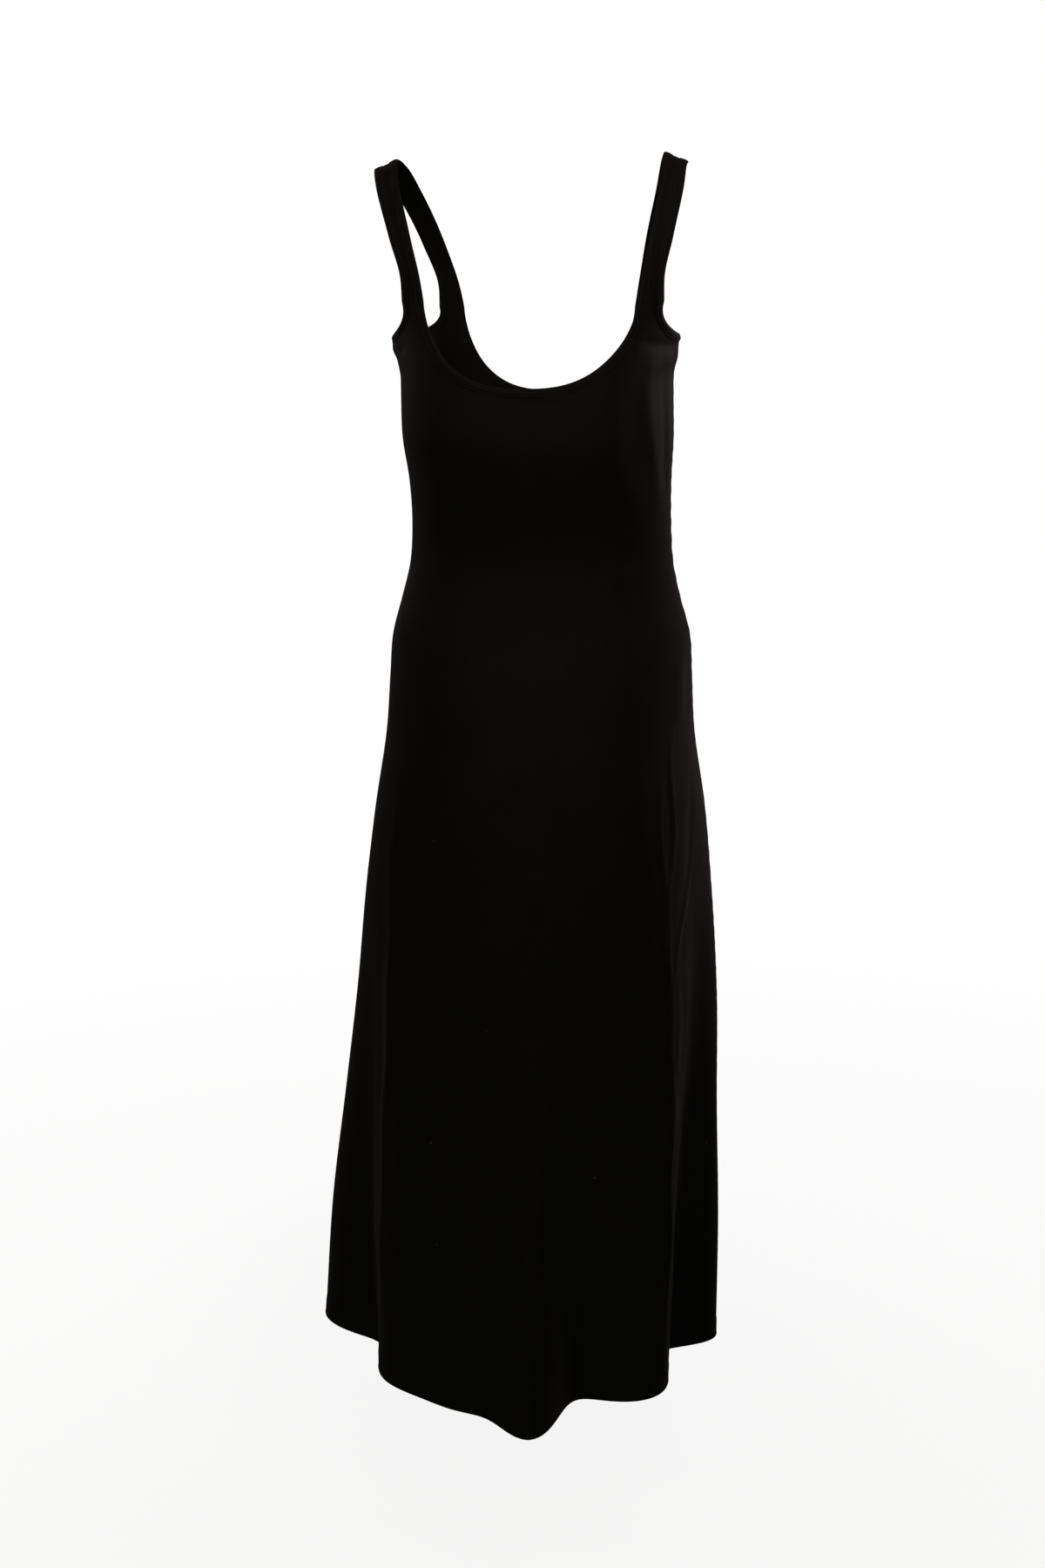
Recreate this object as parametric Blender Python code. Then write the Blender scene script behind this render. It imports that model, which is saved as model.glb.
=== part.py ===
"""Black wool midi dress in its worn, hollow form.

A sleeveless bodice with a deep scooped neck and narrow straps cut in one with it,
and an A-line skirt that falls in soft folds to the hem.  Metres, +Z up.
The origin lies between the tops of the two straps, where the dress is held up.
The front faces -Y, and +X is the wearer's left.

A point of the cloth has two names: its sweep, in degrees from the left side seam
(0) over the middle of the panel (90) to the right side seam (180), and its level,
which is its height below the straps and the distance run along the cloth above.
"""
import math

import bmesh
import bpy
import numpy as np
from mathutils.geometry import delaunay_2d_cdt

# Driving sizes of the garment
LENGTH = 1.240                 # strap tops to hem
SHOULDER_LEVEL = 0.0255        # level of the shoulder seams, where the height is 0
UNDERARM_LEVEL = -0.171        # lowest point of the armholes
FRONT_NECK_LEVEL = -0.2235     # lowest point of the front neckline
BACK_NECK_LEVEL = -0.226       # lowest point of the back neckline
HIP_LEVEL = -0.560             # the skirt hangs free below this
BUST_LEVEL = -0.270

CLOTH = 0.0015                 # wall of a panel, a soft jersey and its turnings
BINDING_WIDTH = 0.008
BINDING_CLOTH = 0.0010
BINDING_OVERHANG = 0.0006      # how far a binding reaches past the cut edge
SEAM_GAP = 0.0003
SHOULDER_SLOPE = 0.42          # fall of the strap tops away from the neck
SLOPE_LEVEL = -0.100           # that fall begins here
STRAP_MIDDLE = 0.146           # strap's middle from the centre line, at the top
SHOULDER_TILT = 0.014          # the left strap is carried a little higher

# Cross sections from hem to shoulder.  Columns: level, height, half width, front
# depth, back depth, centre x, squareness (2 is an ellipse, more is squarer)
SECTIONS = np.array([
    (-1.2400, -1.2400, 0.2034, 0.208, 0.197, -0.0078, 2.20),
    (-1.1000, -1.1000, 0.2026, 0.191, 0.182, -0.0035, 2.20),
    (-0.9750, -0.9750, 0.1962, 0.175, 0.169, 0.0022, 2.20),
    (-0.8550, -0.8550, 0.1905, 0.161, 0.157, 0.0083, 2.20),
    (-0.7390, -0.7390, 0.1830, 0.147, 0.145, 0.0101, 2.20),
    (-0.6530, -0.6530, 0.1738, 0.137, 0.135, 0.0116, 2.25),
    (-0.5680, -0.5680, 0.1608, 0.127, 0.122, 0.0119, 2.30),
    (-0.5130, -0.5130, 0.1573, 0.119, 0.109, 0.0123, 2.30),
    (-0.4730, -0.4730, 0.1545, 0.111, 0.097, 0.0125, 2.30),
    (-0.4310, -0.4310, 0.1433, 0.105, 0.084, 0.0123, 2.30),
    (-0.4000, -0.4000, 0.1360, 0.104, 0.079, 0.0128, 2.30),
    (-0.3600, -0.3600, 0.1330, 0.109, 0.082, 0.0128, 2.30),
    (-0.3150, -0.3150, 0.1334, 0.121, 0.091, 0.0118, 2.40),
    (-0.2700, -0.2700, 0.1372, 0.128, 0.098, 0.0096, 2.50),
    (-0.2300, -0.2300, 0.1372, 0.124, 0.101, 0.0088, 2.60),
    (-0.2000, -0.2000, 0.1374, 0.119, 0.102, 0.0086, 2.60),
    (-0.1740, -0.1740, 0.1400, 0.113, 0.101, 0.0098, 2.60),
    (-0.1450, -0.1450, 0.1470, 0.108, 0.099, 0.0104, 2.60),
    (-0.1165, -0.1165, 0.1580, 0.098, 0.095, 0.0098, 2.60),
    (-0.0765, -0.0785, 0.1780, 0.078, 0.080, 0.0072, 2.60),
    (-0.0260, -0.0320, 0.2000, 0.046, 0.050, 0.0035, 2.60),
    (0.0067, -0.0080, 0.2100, 0.020, 0.022, 0.0010, 2.60),
    (0.0255, -0.0015, 0.2100, 0.000, 0.000, 0.0000, 2.60),
])

HEIGHT_COLUMN = 1
HALF_WIDTH_COLUMN = 2
FRONT_DEPTH_COLUMN = 3
BACK_DEPTH_COLUMN = 4
CENTRE_COLUMN = 5
SQUARENESS_COLUMN = 6

# Edges of a strap, as distances from the centre line.  The back straps lie a little
# closer together.  Columns: level, armhole edge, neck edge, how much closer at the back
STRAP_EDGES = np.array([
    (-0.1400, 0.1282, 0.1053, 0.014),
    (-0.1165, 0.1288, 0.1096, 0.014),
    (-0.0765, 0.1386, 0.1182, 0.013),
    (-0.0260, 0.1503, 0.1293, 0.008),
    (0.0255, 0.1566, 0.1347, 0.000),
])
ARMHOLE_EDGE_COLUMN = 1
NECK_EDGE_COLUMN = 2
CLOSER_COLUMN = 3

ARMHOLE_JOIN = -0.140          # the armhole's round part starts here
ARMHOLE_ROUND = (2.2, 3.0)     # exponents of the round part
NECK_JOIN = -0.140             # and the neckline's here
NECK_ROUND = (1.65, 2.65)

# The right armhole's edge rolls outwards under the arm
ROLL_DEPTH = 0.0065
ROLL_LEVEL = -0.176
ROLL_HALF_HEIGHT = 0.014
ROLL_HALF_ANGLE = 16.0

# Folds of the skirt, seen all round: 0 is the left side seam, 90 the centre
# front, 180 the right side seam and 270 the centre back.  A positive depth stands
# out and a negative one is a trough.  Columns: angle where it starts, angle at
# the hem, starting level, depth at the hem, half width in degrees
FOLDS = np.array([
    (84, 81, -0.84, 0.058, 6.0),
    (70, 66, -0.88, -0.016, 6.5),
    (45, 46, -0.58, 0.018, 9.0),
    (22, 24, -0.58, -0.034, 7.5),
    (4, 7, -0.62, 0.017, 6.0),
    (100, 97, -0.86, 0.015, 9.0),
    (154, 148, -0.66, -0.041, 10.0),
    (176, 175, -0.64, 0.018, 9.0),
    (204, 203, -0.70, -0.026, 8.5),
    (226, 227, -0.66, 0.022, 10.0),
    (250, 249, -0.84, -0.018, 8.0),
    (277, 274, -0.80, 0.034, 9.0),
    (299, 298, -0.82, -0.020, 8.0),
    (319, 320, -0.66, 0.020, 10.0),
    (341, 342, -0.70, -0.026, 8.0),
])
FOLD_GROWTH = 1.35             # folds deepen faster towards the hem

# Mesh fineness
SKIRT_ROWS = 12
HIP_ROWS = 9
BUST_ROWS = 3
SKIRT_COLUMNS = 40
BODICE_COLUMNS = 28
ROUND_POINTS = 11
STRAP_POINTS = 8
GRID_METRES_PER_DEGREE = 0.0035
GRID_CLEARANCE = 0.010
MERGE_DISTANCE = 1e-7
SMOOTH_BELOW = 40              # edges turned more than this many degrees stay sharp

COLOURS = {
    "front_panel": (0.012, 0.011, 0.011),
    "back_panel": (0.012, 0.011, 0.011),
    "neck_binding": (0.016, 0.015, 0.015),
    "armhole_binding_left": (0.016, 0.015, 0.015),
    "armhole_binding_right": (0.016, 0.015, 0.015),
}
CLOTH_ROUGHNESS = 0.9


def smooth_value(table, column, level):
    """Value of one column at a level, on a smooth curve through the table's rows."""
    levels = table[:, 0]
    values = table[:, column]
    slopes = np.gradient(values, levels)
    if table is SECTIONS and column == HEIGHT_COLUMN:
        slopes[-1] = 0.0       # the straps lie level over the shoulders
    level = min(max(level, levels[0]), levels[-1])
    row = min(int(np.searchsorted(levels, level, side="right")) - 1, len(levels) - 2)
    step = levels[row + 1] - levels[row]
    t = (level - levels[row]) / step
    start_weight = (1 + 2 * t) * (1 - t) ** 2
    end_weight = t * t * (3 - 2 * t)
    start_slope = t * (1 - t) ** 2 * step
    end_slope = t * t * (t - 1) * step
    return (start_weight * values[row] + end_weight * values[row + 1]
            + start_slope * slopes[row] + end_slope * slopes[row + 1])


def fold_depth(angle, level):
    """How far the skirt's folds stand out at an angle round the body."""
    depth = 0.0
    for start_angle, hem_angle, start_level, hem_depth, half_width in FOLDS:
        if level >= start_level:
            continue
        grown = (start_level - level) / (start_level + LENGTH)
        middle = start_angle + (hem_angle - start_angle) * grown
        away = (angle - middle + 180) % 360 - 180
        depth += hem_depth * grown ** FOLD_GROWTH * math.exp(-(away / half_width) ** 2 / 2)
    return depth


def armhole_roll(angle, level):
    """How far the right armhole's edge stands out under the arm."""
    up = (level - ROLL_LEVEL) / ROLL_HALF_HEIGHT
    around = (angle - 180) / ROLL_HALF_ANGLE
    return ROLL_DEPTH * math.exp(-(up * up + around * around) / 2)


def cloth_point(side, sweep, level):
    """Outer face of the cloth; side is -1 for the front panel and 1 for the back."""
    half_width = smooth_value(SECTIONS, HALF_WIDTH_COLUMN, level)
    depth = smooth_value(SECTIONS, FRONT_DEPTH_COLUMN if side < 0 else BACK_DEPTH_COLUMN, level)
    power = smooth_value(SECTIONS, SQUARENESS_COLUMN, level)
    across = math.cos(math.radians(sweep))
    outward = math.sin(math.radians(sweep))
    reach = (abs(across) ** power + abs(outward) ** power) ** (-1 / power)
    x = half_width * reach * across
    y = side * depth * reach * outward
    angle = sweep if side < 0 else 360 - sweep
    stands_out = fold_depth(angle, level) + armhole_roll(angle, level)
    radius = math.hypot(half_width * reach * across, depth * reach * outward)
    x += stands_out * x / radius
    y += stands_out * y / radius
    rise = min(max((level - SLOPE_LEVEL) / (SHOULDER_LEVEL - SLOPE_LEVEL), 0.0), 1.0)
    rise = rise * rise * (3 - 2 * rise)
    z = smooth_value(SECTIONS, HEIGHT_COLUMN, level)
    z += rise * (SHOULDER_TILT * x - SHOULDER_SLOPE * (abs(x) - STRAP_MIDDLE))
    return np.array((x + smooth_value(SECTIONS, CENTRE_COLUMN, level), y, z))


def cloth_slopes(side, sweep, level):
    """Change of the cloth's point for each degree of sweep and metre of level."""
    small_sweep = 0.05
    small_level = 0.0002
    after = cloth_point(side, sweep + small_sweep, level)
    by_sweep = after - cloth_point(side, sweep - small_sweep, level)
    low = max(level - small_level, -LENGTH)
    high = min(level + small_level, SHOULDER_LEVEL)
    by_level = cloth_point(side, sweep, high) - cloth_point(side, sweep, low)
    return by_sweep / (2 * small_sweep), by_level / (high - low)


def outward_normal(side, sweep, level):
    by_sweep, by_level = cloth_slopes(side, sweep, level)
    normal = side * np.cross(by_sweep, by_level)
    return normal / np.linalg.norm(normal)


def sweep_at(span, level):
    """Sweep of the point that lies a given distance from the centre line."""
    power = smooth_value(SECTIONS, SQUARENESS_COLUMN, level)
    across = min(span / smooth_value(SECTIONS, HALF_WIDTH_COLUMN, level), 1.0)
    outward = (1 - across ** power) ** (1 / power)
    return math.degrees(math.atan2(outward, across))


def strap_span(side, column, level):
    """Distance of a strap's armhole edge or neck edge from the centre line."""
    span = smooth_value(STRAP_EDGES, column, level)
    if side > 0:
        span -= smooth_value(STRAP_EDGES, CLOSER_COLUMN, level)
    return span


def strap_sweep(side, column, level):
    return sweep_at(strap_span(side, column, level), level)


def round_corner(exponents, turn):
    """Fractions along and across a round corner, for a turn from 0 to 1."""
    quarter = turn * math.pi / 2
    return math.sin(quarter) ** (2 / exponents[0]), math.cos(quarter) ** (2 / exponents[1])


def armhole_edge(side):
    """Sweeps and levels from the side seam, under the arm and up to the shoulder."""
    seam = math.degrees(SEAM_GAP / 2 / smooth_value(SECTIONS, HALF_WIDTH_COLUMN, UNDERARM_LEVEL))
    join_sweep = strap_sweep(side, ARMHOLE_EDGE_COLUMN, ARMHOLE_JOIN)
    edge = []
    for i in range(ROUND_POINTS):
        down, across = round_corner(ARMHOLE_ROUND, 1 - i / ROUND_POINTS)
        level = ARMHOLE_JOIN + (UNDERARM_LEVEL - ARMHOLE_JOIN) * down
        edge.append((seam + (join_sweep - seam) * across, level))
    top = SHOULDER_LEVEL - SEAM_GAP / 2
    for i in range(STRAP_POINTS + 1):
        level = ARMHOLE_JOIN + (top - ARMHOLE_JOIN) * i / STRAP_POINTS
        edge.append((strap_sweep(side, ARMHOLE_EDGE_COLUMN, level), level))
    return edge


def neck_edge(side):
    """Sweeps and levels from the shoulder down to the middle of the neckline."""
    bottom = FRONT_NECK_LEVEL if side < 0 else BACK_NECK_LEVEL
    top = SHOULDER_LEVEL - SEAM_GAP / 2
    edge = []
    for i in range(STRAP_POINTS):
        level = top + (NECK_JOIN - top) * i / STRAP_POINTS
        edge.append((strap_sweep(side, NECK_EDGE_COLUMN, level), level))
    join_span = strap_span(side, NECK_EDGE_COLUMN, NECK_JOIN)
    for i in range(ROUND_POINTS + 1):
        down, across = round_corner(NECK_ROUND, i / ROUND_POINTS)
        level = NECK_JOIN + (bottom - NECK_JOIN) * down
        edge.append((sweep_at(join_span * across, level), level))
    return edge


def mirrored(edge):
    """The same edge on the other half of the panel, in reverse order."""
    return [(180 - sweep, level) for sweep, level in reversed(edge)]


def inset_edge(side, edge, width):
    """Points a set distance inside an edge; the cloth lies to the left of its run."""
    inset = []
    last = len(edge) - 1
    for i, (sweep, level) in enumerate(edge):
        before = edge[max(i - 1, 0)]
        after = edge[min(i + 1, last)]
        along = cloth_point(side, *after) - cloth_point(side, *before)
        inward = -side * np.cross(outward_normal(side, sweep, level), along)
        inward *= width / np.linalg.norm(inward)
        slopes = np.stack(cloth_slopes(side, sweep, level), axis=1)
        move = np.linalg.lstsq(slopes, inward, rcond=None)[0]
        inset.append((sweep + move[0], level + move[1]))
    return inset


def armhole_lines(side):
    """The left armhole's edge and the line where its binding ends."""
    edge = armhole_edge(side)
    inset = inset_edge(side, edge, BINDING_WIDTH)
    inset[0] = (edge[0][0], inset[0][1])       # on the side seam
    inset[-1] = (inset[-1][0], edge[-1][1])    # on the shoulder seam
    return edge, inset


def neck_lines(side):
    """The whole neckline's edge, strap to strap, and the line where its binding ends."""
    half = neck_edge(side)
    edge = half + mirrored(half)[1:]
    inset = inset_edge(side, edge, BINDING_WIDTH)
    inset[0] = (inset[0][0], edge[0][1])
    inset[-1] = (inset[-1][0], edge[-1][1])
    return edge, inset


def evenly(start, end, steps):
    return [start + (end - start) * i / steps for i in range(steps)]


def row_levels():
    """Levels of the mesh's rows below the underarm, closer where the body turns."""
    rows = evenly(-LENGTH, HIP_LEVEL, SKIRT_ROWS)
    rows += evenly(HIP_LEVEL, BUST_LEVEL, HIP_ROWS)
    rows += evenly(BUST_LEVEL, UNDERARM_LEVEL - BINDING_WIDTH, BUST_ROWS)
    return rows


def is_inside(point, loop):
    inside = False
    for (x0, y0), (x1, y1) in zip(loop, loop[1:] + loop[:1]):
        if (y0 > point[1]) != (y1 > point[1]):
            if point[0] < x0 + (x1 - x0) * (point[1] - y0) / (y1 - y0):
                inside = not inside
    return inside


def flat(point):
    """A sweep and level as flat coordinates of about equal scale."""
    return (point[0] * GRID_METRES_PER_DEGREE, point[1])


def panel_triangles(side):
    """Flat triangulation of a panel: its sweeps and levels, and its triangles."""
    arm_edge, arm_inset = armhole_lines(side)
    neck, neck_inset = neck_lines(side)
    rows = row_levels()
    seam = arm_edge[0][0]
    left_seam = [(seam, level) for level in rows] + [arm_inset[0]]
    hem = [(seam + (180 - 2 * seam) * i / SKIRT_COLUMNS, -LENGTH) for i in range(1, SKIRT_COLUMNS)]
    left_half = left_seam + arm_edge + [arm_inset[-1], neck_inset[0]] + neck[:len(neck) // 2]
    outline = left_half + [neck[len(neck) // 2]] + mirrored(left_half) + hem[::-1]
    insets = [arm_inset, mirrored(arm_inset), neck_inset]
    edges = [arm_edge, mirrored(arm_edge), neck]

    points = [flat(point) for point in outline]
    fixed = [(i, (i + 1) % len(points)) for i in range(len(points))]
    place = {point: i for i, point in enumerate(outline)}
    for inset, edge in zip(insets, edges):
        ends = len(inset) - 1
        for i, point in enumerate(inset):
            if point not in place:
                place[point] = len(points)
                points.append(flat(point))
            fixed.append((place[edge[i]], place[point]))
        for i in range(ends):
            fixed.append((place[inset[i]], place[inset[i + 1]]))
            crossing = (edge[i], inset[i + 1]) if side < 0 else (edge[i + 1], inset[i])
            fixed.append((place[crossing[0]], place[crossing[1]]))
    taken = np.array(points)
    loop = [flat(point) for point in outline]
    bands = [[flat(point) for point in inset + edge[::-1]] for inset, edge in zip(insets, edges)]
    for level in rows[1:]:
        columns = SKIRT_COLUMNS if level < HIP_LEVEL else BODICE_COLUMNS
        for i in range(1, columns):
            point = flat((180 * i / columns, level))
            if not is_inside(point, loop) or any(is_inside(point, band) for band in bands):
                continue
            if level > rows[1] and np.min(np.hypot(*(taken - point).T)) < GRID_CLEARANCE:
                continue
            points.append(point)
    found = delaunay_2d_cdt(points, fixed, [list(range(len(outline)))], 1, MERGE_DISTANCE)
    spots = [(x / GRID_METRES_PER_DEGREE, y) for x, y in found[0]]
    return spots, [list(face) for face in found[2]]


def solid_object(name, vertices, faces):
    """One closed solid with its own material and its faces pointing out."""
    mesh = bpy.data.meshes.new(name)
    mesh.from_pydata([tuple(vertex) for vertex in vertices], [], faces)
    body = bmesh.new()
    body.from_mesh(mesh)
    bmesh.ops.recalc_face_normals(body, faces=body.faces)
    bmesh.ops.triangulate(body, faces=body.faces)
    body.to_mesh(mesh)
    body.free()
    mesh.shade_smooth()
    mesh.set_sharp_from_angle(angle=math.radians(SMOOTH_BELOW))
    material = bpy.data.materials.new(name)
    material.use_nodes = True
    shader = material.node_tree.nodes["Principled BSDF"]
    shader.inputs["Base Color"].default_value = (*COLOURS[name], 1.0)
    shader.inputs["Roughness"].default_value = CLOTH_ROUGHNESS
    shader.inputs["Metallic"].default_value = 0.0
    mesh.materials.append(material)
    thing = bpy.data.objects.new(name, mesh)
    bpy.context.scene.collection.objects.link(thing)
    return thing


def make_panel(name, side):
    """A panel's wall: its triangles on the outer face, the inner face and the edges."""
    spots, triangles = panel_triangles(side)
    outer = [cloth_point(side, *spot) for spot in spots]
    normals = [outward_normal(side, *spot) for spot in spots]
    inner = [point - CLOTH * normal for point, normal in zip(outer, normals)]
    count = len(outer)
    faces = list(triangles)
    faces += [[count + corner for corner in reversed(triangle)] for triangle in triangles]
    walked = set()
    for triangle in triangles:
        for start, end in zip(triangle, triangle[1:] + triangle[:1]):
            walked.add((start, end))
    for start, end in sorted(walked):
        if (end, start) not in walked:
            faces.append([end, start, count + start, count + end])
    return solid_object(name, outer + inner, faces)


def binding_rings(side, edge, inset):
    """Four corners of a binding at each point of its edge, moved out from the panel."""
    rings = []
    for edge_spot, inset_spot in zip(edge, inset):
        edge_point = cloth_point(side, *edge_spot)
        inset_point = cloth_point(side, *inset_spot)
        edge_normal = outward_normal(side, *edge_spot)
        inset_normal = outward_normal(side, *inset_spot)
        past = edge_point - inset_point
        edge_point = edge_point + past * BINDING_OVERHANG / np.linalg.norm(past)
        rings.append((
            edge_point + SEAM_GAP * edge_normal,
            inset_point + SEAM_GAP * inset_normal,
            inset_point + (SEAM_GAP + BINDING_CLOTH) * inset_normal,
            edge_point + (SEAM_GAP + BINDING_CLOTH) * edge_normal,
        ))
    return rings


def make_binding(name, rings):
    """A closed loop of cloth strip through rings of four corners."""
    vertices = [corner for ring in rings for corner in ring]
    faces = []
    for i in range(len(rings)):
        here = 4 * i
        there = 4 * ((i + 1) % len(rings))
        for corner in range(4):
            following = (corner + 1) % 4
            faces.append([here + corner, here + following, there + following])
            faces.append([here + corner, there + following, there + corner])
    return solid_object(name, vertices, faces)


def make_neck_binding():
    front = binding_rings(-1, *neck_lines(-1))
    back = binding_rings(1, *neck_lines(1))
    make_binding("neck_binding", front + back[::-1])


def make_armhole_bindings():
    front = binding_rings(-1, *armhole_lines(-1))
    back = binding_rings(1, *armhole_lines(1))
    make_binding("armhole_binding_left", front + back[::-1])
    other_lines = [[mirrored(line) for line in armhole_lines(side)] for side in (-1, 1)]
    front = binding_rings(-1, *other_lines[0])
    back = binding_rings(1, *other_lines[1])
    make_binding("armhole_binding_right", front + back[::-1])


def main():
    for thing in list(bpy.data.objects):
        bpy.data.objects.remove(thing, do_unlink=True)
    make_panel("front_panel", -1)
    make_panel("back_panel", 1)
    make_neck_binding()
    make_armhole_bindings()


main()
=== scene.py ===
"""Looks of a black wool midi dress in its worn, hollow form.

The cloth is two thin shells, front and back, on the form of their solids, with the
creases of soft jersey laid over it. Folded bands finish the neck and the
armholes, the hem is turned up inside, and every row of sewing is real thread.
Metres, +Z up, the dress's front faces -Y and +X is its left side as worn.

A point of the cloth has a side (-1 front, 1 back), a sweep in degrees from the left
side seam (0) over the middle of the panel (90) to the right side seam (180), and a
level, its height below the straps.
"""

import math

import bmesh
import bpy
import numpy as np
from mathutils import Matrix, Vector
from mathutils.geometry import delaunay_2d_cdt


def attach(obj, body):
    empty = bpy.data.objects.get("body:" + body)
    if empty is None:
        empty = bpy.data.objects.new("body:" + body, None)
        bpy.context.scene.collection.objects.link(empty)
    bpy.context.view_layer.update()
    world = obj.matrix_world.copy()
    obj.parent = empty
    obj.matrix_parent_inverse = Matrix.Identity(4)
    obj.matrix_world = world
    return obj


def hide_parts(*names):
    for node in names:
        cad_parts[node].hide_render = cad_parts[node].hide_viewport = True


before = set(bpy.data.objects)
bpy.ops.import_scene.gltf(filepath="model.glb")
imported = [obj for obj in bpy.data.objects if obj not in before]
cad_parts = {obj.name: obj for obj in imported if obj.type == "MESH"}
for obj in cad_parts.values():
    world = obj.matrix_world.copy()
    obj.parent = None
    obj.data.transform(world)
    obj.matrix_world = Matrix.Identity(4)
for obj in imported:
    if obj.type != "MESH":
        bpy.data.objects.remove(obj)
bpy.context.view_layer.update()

FRONT = -1
BACK = 1

# Sizes that the dress's solids have too
LENGTH = 1.240
SHOULDER_LEVEL = 0.0255
UNDERARM_LEVEL = -0.171
FRONT_NECK_LEVEL = -0.2235
BACK_NECK_LEVEL = -0.226
SHOULDER_SLOPE = 0.42
SLOPE_LEVEL = -0.100
STRAP_MIDDLE = 0.146
SHOULDER_TILT = 0.014
CLOTH = 0.0015

# Cross sections from hem to shoulder. Columns: level, height, half width, front
# depth, back depth, centre x, squareness
SECTIONS = np.array([
    (-1.2400, -1.2400, 0.2034, 0.208, 0.197, -0.0078, 2.20),
    (-1.1000, -1.1000, 0.2026, 0.191, 0.182, -0.0035, 2.20),
    (-0.9750, -0.9750, 0.1962, 0.175, 0.169, 0.0022, 2.20),
    (-0.8550, -0.8550, 0.1905, 0.161, 0.157, 0.0083, 2.20),
    (-0.7390, -0.7390, 0.1830, 0.147, 0.145, 0.0101, 2.20),
    (-0.6530, -0.6530, 0.1738, 0.137, 0.135, 0.0116, 2.25),
    (-0.5680, -0.5680, 0.1608, 0.127, 0.122, 0.0119, 2.30),
    (-0.5130, -0.5130, 0.1573, 0.119, 0.109, 0.0123, 2.30),
    (-0.4730, -0.4730, 0.1545, 0.111, 0.097, 0.0125, 2.30),
    (-0.4310, -0.4310, 0.1433, 0.105, 0.084, 0.0123, 2.30),
    (-0.4000, -0.4000, 0.1360, 0.104, 0.079, 0.0128, 2.30),
    (-0.3600, -0.3600, 0.1330, 0.109, 0.082, 0.0128, 2.30),
    (-0.3150, -0.3150, 0.1334, 0.121, 0.091, 0.0118, 2.40),
    (-0.2700, -0.2700, 0.1372, 0.128, 0.098, 0.0096, 2.50),
    (-0.2300, -0.2300, 0.1372, 0.124, 0.101, 0.0088, 2.60),
    (-0.2000, -0.2000, 0.1374, 0.119, 0.102, 0.0086, 2.60),
    (-0.1740, -0.1740, 0.1400, 0.113, 0.101, 0.0098, 2.60),
    (-0.1450, -0.1450, 0.1470, 0.108, 0.099, 0.0104, 2.60),
    (-0.1165, -0.1165, 0.1580, 0.098, 0.095, 0.0098, 2.60),
    (-0.0765, -0.0785, 0.1780, 0.078, 0.080, 0.0072, 2.60),
    (-0.0260, -0.0320, 0.2000, 0.046, 0.050, 0.0035, 2.60),
    (0.0067, -0.0080, 0.2100, 0.020, 0.022, 0.0010, 2.60),
    (0.0255, -0.0015, 0.2100, 0.000, 0.000, 0.0000, 2.60),
])
HEIGHT, HALF_WIDTH, FRONT_DEPTH, BACK_DEPTH, CENTRE, SQUARENESS = range(1, 7)

# Edges of a strap. Columns: level, armhole edge and neck edge from the centre line,
# and how much closer together the back straps lie
STRAP_EDGES = np.array([
    (-0.1400, 0.1282, 0.1053, 0.014),
    (-0.1165, 0.1288, 0.1096, 0.014),
    (-0.0765, 0.1386, 0.1182, 0.013),
    (-0.0260, 0.1503, 0.1293, 0.008),
    (0.0255, 0.1566, 0.1347, 0.000),
])
ARMHOLE_EDGE, NECK_EDGE, CLOSER = range(1, 4)
ARMHOLE_JOIN = -0.140
ARMHOLE_ROUND = (2.2, 3.0)
NECK_JOIN = -0.140
NECK_ROUND = (1.65, 2.65)

ROLL_DEPTH = 0.0065            # slack cloth under the right armhole
ROLL_LEVEL = -0.176
ROLL_HALF_HEIGHT = 0.014
ROLL_HALF_ANGLE = 16.0

# Folds of the skirt, seen all round. Columns: angle where it starts, angle at the
# hem, starting level, depth at the hem, half width in degrees
FOLDS = np.array([
    (84, 81, -0.84, 0.058, 6.0),
    (70, 66, -0.88, -0.016, 6.5),
    (45, 46, -0.58, 0.018, 9.0),
    (22, 24, -0.58, -0.034, 7.5),
    (4, 7, -0.62, 0.017, 6.0),
    (100, 97, -0.86, 0.015, 9.0),
    (154, 148, -0.66, -0.041, 10.0),
    (176, 175, -0.64, 0.018, 9.0),
    (204, 203, -0.70, -0.026, 8.5),
    (226, 227, -0.66, 0.022, 10.0),
    (250, 249, -0.84, -0.018, 8.0),
    (277, 274, -0.80, 0.034, 9.0),
    (299, 298, -0.82, -0.020, 8.0),
    (319, 320, -0.66, 0.020, 10.0),
    (341, 342, -0.70, -0.026, 8.0),
])
FOLD_GROWTH = 1.35

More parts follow.
